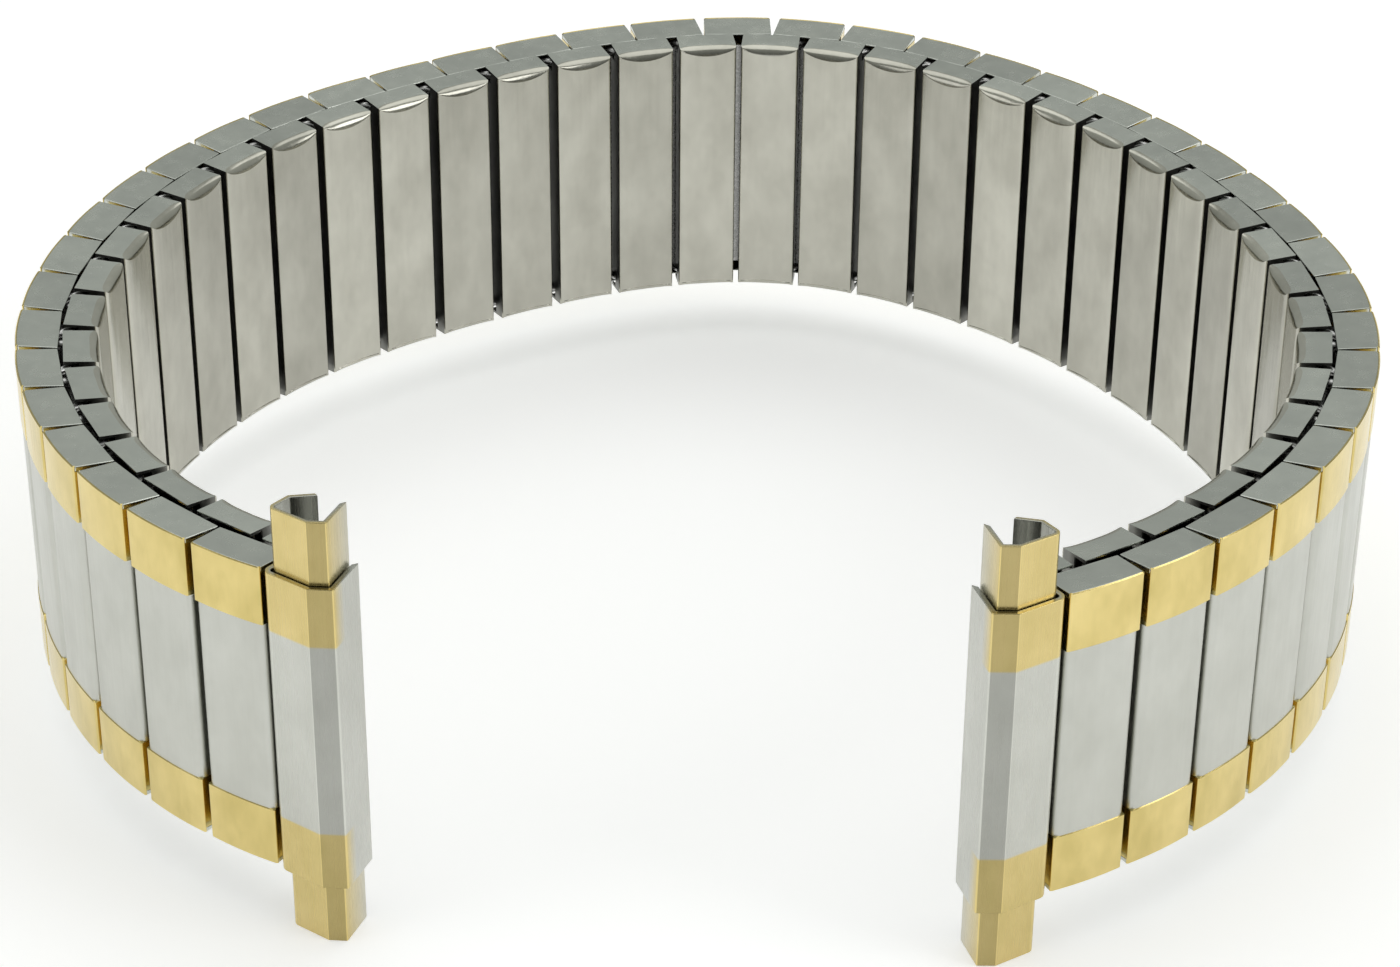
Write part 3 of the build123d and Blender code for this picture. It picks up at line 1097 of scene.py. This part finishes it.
# %% The section of shells and tubes
SHELL_CORNERS = (
    (3.30, -0.75), (3.85, 1.72), (2.80, 2.32), (0.15, 2.20), (0.30, 0.45), (1.35, -0.50),
)
SHELL_SHEET = 0.25
SHELL_FOLDS = (0.10, 0.10, 0.45, 0.30)
TUBE_SHEET = 0.22
TUBE_FIT = 0.05
TUBE_FOLDS = (0.08, 0.08, 0.35, 0.15)
TUBE_LOW = (-0.42, -0.22)
FACET_STEPS = 6
FACET_DIVIDED = 0.94
ARC_STEPS = 6


def offset_line(points, distance):
    """An open line moved to its left, with its corners kept sharp."""
    moved = []
    lines = []
    for (ax, ay), (bx, by) in zip(points, points[1:]):
        length = math.hypot(bx - ax, by - ay)
        nx, ny = (ay - by) / length, (bx - ax) / length
        lines.append(((ax + nx * distance, ay + ny * distance), (bx - ax, by - ay)))
    first, last = lines[0], lines[-1]
    moved.append(first[0])
    for ((px, py), (ux, uy)), ((qx, qy), (vx, vy)) in zip(lines, lines[1:]):
        along = ((qx - px) * vy - (qy - py) * vx) / (ux * vy - uy * vx)
        moved.append((px + ux * along, py + uy * along))
    (px, py), (ux, uy) = last
    moved.append((px + ux, py + uy))
    return moved


def level_ends(points, low):
    """An open line whose two ends are cut or lengthened to a level of Y."""
    def cut_to(inside, end, y):
        share = (y - inside[1]) / (end[1] - inside[1])
        return (inside[0] + (end[0] - inside[0]) * share, y)
    first = cut_to(points[1], points[0], low[0])
    last = cut_to(points[-2], points[-1], low[1])
    return [first, *points[1:-1], last]


def folded(points, radii):
    """An open line with its corners rounded and its first facet divided."""
    line = []
    (ax, ay), (bx, by) = points[0], points[1]
    for step in range(FACET_STEPS):
        share = step / FACET_STEPS * FACET_DIVIDED
        line.append((ax + (bx - ax) * share, ay + (by - ay) * share))
    for before, corner, after, radius in zip(points, points[1:], points[2:], radii):
        to_before = Vector(before) - Vector(corner)
        to_after = Vector(after) - Vector(corner)
        to_before.normalize()
        to_after.normalize()
        half = to_before.angle(to_after) / 2
        middle = Vector(corner) + (to_before + to_after).normalized() * (radius / math.sin(half))
        start = Vector(corner) + to_before * (radius / math.tan(half)) - middle
        end = Vector(corner) + to_after * (radius / math.tan(half)) - middle
        for step in range(ARC_STEPS + 1):
            share = step / ARC_STEPS
            spoke = start.lerp(end, share).normalized() * radius
            line.append(tuple(middle + spoke))
    line.append(points[-1])
    return line


TUBE_CORNERS = level_ends(offset_line(SHELL_CORNERS, SHELL_SHEET + TUBE_FIT), TUBE_LOW)
print("points in a section", len(folded(SHELL_CORNERS, SHELL_FOLDS)))

# %% [markdown]
# The section is lofted along the band's width. Two values are kept on its points. One is
# the plating, because on the watch side the gold fades over the facet and doesn't stop at
# an edge. The other is a tone of painted light, which stands for the way each facet takes
# the light: each facet is painted its own shade, the narrow one the darkest, and the ridges
# between the facets are painted a little brighter as a highlight.

# %% A channel with its plating and painted light
FADE = {"shell": 0.9, "tube": 2.4}
PRONG_POINT = (0.30, 0.10)
TIGHTEST_FOLD = 0.04
# Painted shade for each facet, and a painted highlight on the ridges between them.
FACET_PAINTED_SHADES = (1.0, 0.66, 1.0, 0.85, 0.85)
RIDGE_PAINTED_HIGHLIGHT = 1.12


def painted_facet_light(outside, count):
    """How bright each point is painted: every facet its own painted shade, the ridges a painted
    highlight.
    """
    tones = [FACET_PAINTED_SHADES[0]] * FACET_STEPS
    for before, after in zip(FACET_PAINTED_SHADES, FACET_PAINTED_SHADES[1:]):
        tones += [before] + [RIDGE_PAINTED_HIGHLIGHT] * (ARC_STEPS - 1) + [after]
    tones += [FACET_PAINTED_SHADES[-1]] * (outside - len(tones))
    return tones + [FACET_PAINTED_SHADES[-1]] * (count - outside)


def channel(name, corners, sheet, folds, low, high, breaks, edge):
    """A folded channel between two heights, with its plating kept on the points."""
    ends = [corner[1] + point for corner, point in zip((corners[0], corners[-1]), PRONG_POINT)]
    inner_corners = level_ends(offset_line(corners, sheet), ends)
    outer = folded(corners, folds)
    inner = folded(inner_corners, [max(fold - sheet, TIGHTEST_FOLD) for fold in folds])
    section = outer + inner[::-1]
    heights = [low, *breaks, high]
    rings = [[(x, y, z) for x, y in section] for z in heights]
    obj = loft(name, rings, lambda i, j: IN_SATIN, loop=True, capped=True)
    ridge = Vector(corners[1])
    mesh = obj.data
    plating = mesh.attributes.new("plating", "FLOAT", "POINT")
    # The tone kept here is painted light: a painted shade for each facet and a painted highlight
    # on the ridges.
    tone = mesh.attributes.new("tone", "FLOAT", "POINT")
    tone.data.foreach_set("value", painted_facet_light(len(outer), len(section)) * len(heights))
    values = []
    for index, point in enumerate(section * len(heights)):
        place = index % len(section)
        if place >= len(outer):
            values.append(0)
        elif place < FACET_STEPS:
            values.append(max(0, 1 - (Vector(point) - ridge).length / FADE[name]))
        else:
            values.append(1)
    plating.data.foreach_set("value", values)
    return formed(faced_outward(obj), edge=edge)


print("facets", len(FACET_PAINTED_SHADES), "lightest", max(FACET_PAINTED_SHADES), "darkest", min(FACET_PAINTED_SHADES))

# %% [markdown]
# Shell and tube are steel under gold plate. The material lays the gold where the points
# say so, and on a shell only near the band's edges, with a soft line between the two.
# The steel is a shade darker than the satin of the links.

# %% The metal of shells and tubes
SHELL_BRUSHED = (8000, 8000, 130)
SHELL_STEEL = ((0.52, 0.525, 0.48), (0.59, 0.595, 0.55))
SHELL_GOLD = ((0.60, 0.485, 0.20), (0.71, 0.575, 0.26))
SHELL_ROUGH = (0.20, 0.32)
SHELL_BITE = 0.15
PLATING_BLEND = 0.06


def shader_math(material, operation, first, second=None):
    """One sum in a material, of sockets or with a number second."""
    node = material.node_tree.nodes.new("ShaderNodeMath")
    node.operation = operation
    links = material.node_tree.links
    links.new(first, node.inputs[0])
    if isinstance(second, bpy.types.NodeSocket):
        links.new(second, node.inputs[1])
    elif second is not None:
        node.inputs[1].default_value = second
    return node.outputs[0]


def plated_metal(name, all_over):
    """Steel under gold plate, laid where the points say and near the band's edges."""
    material, shader, where = new_material(name)
    nodes, links = material.node_tree.nodes, material.node_tree.links
    lines = stretched_noise(material, where, SHELL_BRUSHED, LINE_DETAIL)
    cloud = stretched_noise(material, where, CLOUD_SCALE, LINE_DETAIL)
    tone = ranged(material, cloud, 0, 1)
    steel = mixed(material, tone, *SHELL_STEEL)
    gold = mixed(material, tone, *SHELL_GOLD)
    plating = nodes.new("ShaderNodeAttribute")
    plating.attribute_name = "plating"
    cover = plating.outputs["Fac"]
    if not all_over:
        place = nodes.new("ShaderNodeSeparateXYZ")
        links.new(where.outputs["Object"], place.inputs[0])
        above = shader_math(material, "SUBTRACT", place.outputs["Z"], MIDDLE_HEIGHT * MM)
        distance = shader_math(material, "ABSOLUTE", above)
        edge, soft = (HALF - PLATE_END) * MM, PLATING_BLEND * MM
        near = ranged(material, distance, 0, 1, (edge - soft, edge + soft))
        cover = shader_math(material, "MULTIPLY", cover, near)
    # The tone darkens and lightens the facets of shells and tubes as painted shade and painted
    # highlight.
    links.new(toned(material, mixed(material, cover, steel, gold)), shader.inputs["Base Color"])
    links.new(ranged(material, lines, *SHELL_ROUGH), shader.inputs["Roughness"])
    links.new(bumped(material, lines, LINE_DEPTH, SHELL_BITE), shader.inputs["Normal"])
    shader.inputs["Metallic"].default_value = 1
    return material


SHELL_METAL = plated_metal("shell_steel_and_gold", False)
TUBE_METAL = plated_metal("tube_gold", True)
print("shell metal nodes", len(SHELL_METAL.node_tree.nodes))

# %% [markdown]
# What ties a shell to the band is a knuckle: an eye round the pivot pin and a strap up to
# the shell. Shells, knuckles and tubes are drawn at the right end, with X away from the
# band, and then moved to either end. The left end is their mirror image.

# %% End shells, knuckles and tubes
TUBE_REACH = 3.2
TUBE_GAP = 0.1
SHELL_EDGE = 0.05
TUBE_EDGE = 0.04
KNUCKLE_HALF = 4.0
EYE = {"x": 0.17, "y": -1.00, "outer": 0.48, "inner": 0.28}
STRAP = ((0.45, -1.00), (0.45, 0.38), (0.65, 0.20), (0.65, -1.00))
STRAP_EDGE = 0.03


def at_end(obj, side):
    """Moves a piece made at the right end, with X away from the band, to its own end."""
    x, y, turn = end_place(side)
    place = Matrix.Translation(Vector((x, y, MIDDLE_HEIGHT)) * MM)
    place = place @ Matrix.Rotation(math.radians(turn), 4, "Z")
    if side < 0:
        place = place @ Matrix.Scale(-1, 4, (1, 0, 0))
    obj.data.transform(place)
    if side < 0:
        obj.data.flip_normals()
    return obj


def dressed(obj, material):
    """A piece with one material all over."""
    obj.data.materials.clear()
    obj.data.materials.append(material)
    return obj


def prism(name, outline, low, high, edge):
    """A closed outline, drawn along Z, with its edges a little rounded."""
    rings = [[(x, y, z) for x, y in outline] for z in (low, high)]
    solid = loft(name, rings, lambda i, j: IN_WIRE, loop=True, capped=True)
    return formed(faced_outward(solid), edge=edge)


def knuckle():
    """The eye round the pivot pin and the strap that ties it to the shell."""
    x, y, reach = EYE["x"], EYE["y"], KNUCKLE_HALF + PAST
    eye = round_bar("knuckle", x, y, EYE["outer"], -KNUCKLE_HALF, KNUCKLE_HALF, IN_WIRE)
    cut(eye, [round_bar("bore", x, y, EYE["inner"], -reach, reach, IN_WIRE)])
    strap = prism("strap", STRAP, -KNUCKLE_HALF, KNUCKLE_HALF, STRAP_EDGE)
    return joined("knuckle", [eye, strap])


for side, word in ((-1, "left"), (1, "right")):
    body = f"end_shell_{word}"
    breaks = (PLATE_END - HALF, HALF - PLATE_END)
    folds = (SHELL_CORNERS, SHELL_SHEET, SHELL_FOLDS)
    shell = channel("shell", *folds, -HALF, HALF, breaks, SHELL_EDGE)
    shell = at_end(dressed(shell, SHELL_METAL), side)
    shell.name = f"folded_shell_{word}"
    set_out(shell, body)
    eye = at_end(dressed(knuckle(), WIRE), side)
    eye.name = f"shell_knuckle_{word}"
    set_out(eye, body)
    for half, turn in (("upper", 1), ("lower", -1)):
        low, high = sorted((turn * (TUBE_REACH + TUBE_GAP), turn * (HALF + TUBE_REACH)))
        folds = (TUBE_CORNERS, TUBE_SHEET, TUBE_FOLDS)
        tube = channel("tube", *folds, low, high, (), TUBE_EDGE)
        tube = at_end(dressed(tube, TUBE_METAL), side)
        tube.name = f"sliding_tube_{word}_{half}"
        set_out(tube, f"end_tube_{word}_{half}")

# %% [markdown]
# The band stands in a plain studio, on a white floor. The floor glows a little for the
# camera and for mirror rays, so that it stays pale and still takes the band's shadow.

# %% Floor
FLOOR_HALF = 3.0
FLOOR_COLOR = (0.88, 0.88, 0.88, 1)
FLOOR_ROUGHNESS = 0.9
FLOOR_GLOW = 0.41


def studio_floor():
    """A sheet of pale paper that runs past the edges of the view."""
    mesh = bpy.data.meshes.new("floor")
    signs = ((-1, -1), (1, -1), (1, 1), (-1, 1))
    corners = [(x * FLOOR_HALF, y * FLOOR_HALF, 0) for x, y in signs]
    mesh.from_pydata(corners, [], [(0, 1, 2, 3)])
    floor = bpy.data.objects.new("floor", mesh)
    bpy.context.scene.collection.objects.link(floor)
    material = bpy.data.materials.new("floor_paper")
    material.use_nodes = True
    nodes, links = material.node_tree.nodes, material.node_tree.links
    shader = nodes["Principled BSDF"]
    shader.inputs["Base Color"].default_value = FLOOR_COLOR
    shader.inputs["Roughness"].default_value = FLOOR_ROUGHNESS
    rays = nodes.new("ShaderNodeLightPath").outputs
    seen = shader_math(material, "MAXIMUM", rays["Is Camera Ray"], rays["Is Glossy Ray"])
    glow = shader_math(material, "MULTIPLY", seen, FLOOR_GLOW)
    links.new(glow, shader.inputs["Emission Strength"])
    shader.inputs["Emission Color"].default_value = (1, 1, 1, 1)
    mesh.materials.append(material)
    floor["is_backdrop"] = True


studio_floor()
print("floor in metres", 2 * FLOOR_HALF, "by", 2 * FLOOR_HALF)

# %% [markdown]
# A broad soft light hangs overhead, with a weaker one at each side, all far larger than
# the band, so that the metal mirrors pale shapes without hard edges. The room itself is
# grey, and brightest above and beyond the band, which is what the upper flaps mirror.

# %% Lamps and room
LAMPS = (
    ("overhead", (0, 0.15, 0.9), (0, 0, 0), 1.2, 3.4),
    ("left_light", (-0.8, -0.30, 0.35), (0, 0, 0.01), 0.5, 0.7),
    ("right_light", (0.8, -0.25, 0.45), (0, 0, 0.01), 0.5, 1.7),
)
ROOM_COLOR = (0.96, 1.0, 0.95, 1)
ROOM_LIT_FROM = (0, 0.7, 0.7)
ROOM_SPREAD = (-0.8, 0.9)
ROOM_LEVELS = (0.10, 0.47)


def soft_light(name, place, target, size, power):
    """A square lamp that faces a point, in metres and watts."""
    light = bpy.data.lights.new(name, "AREA")
    light.shape = "SQUARE"
    light.size = size
    light.energy = power
    lamp = bpy.data.objects.new(name, light)
    bpy.context.scene.collection.objects.link(lamp)
    lamp.location = place
    lamp.rotation_euler = (Vector(place) - Vector(target)).to_track_quat("Z", "Y").to_euler()
    lamp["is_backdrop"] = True


def studio_room():
    """A grey room, darkest behind the camera and brightest above and beyond the band."""
    world = bpy.data.worlds.new("studio_room")
    world.use_nodes = True
    nodes, links = world.node_tree.nodes, world.node_tree.links
    background = nodes["Background"]
    background.inputs["Color"].default_value = ROOM_COLOR
    way = nodes.new("ShaderNodeTexCoord")
    lit = nodes.new("ShaderNodeVectorMath")
    lit.operation = "DOT_PRODUCT"
    lit.inputs[1].default_value = ROOM_LIT_FROM
    links.new(way.outputs["Generated"], lit.inputs[0])
    level = ranged(world, lit.outputs["Value"], *ROOM_LEVELS, ROOM_SPREAD)
    links.new(level, background.inputs["Strength"])
    bpy.context.scene.world = world


for lamp in LAMPS:
    soft_light(*lamp)
studio_room()
bpy.context.scene.view_settings.view_transform = "Standard"
print("lamps in watts", {name: power for name, *_, power in LAMPS})

# %% [markdown]
# The size of what shows is set beside the size of the solid model before the script ends.

# %% Sizes
low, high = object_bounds()
sizes = {"cad": [list(cad_low), list(cad_high)], "visual": [list(low), list(high)]}
print("solid model", sizes["cad"])
print("what shows", sizes["visual"])
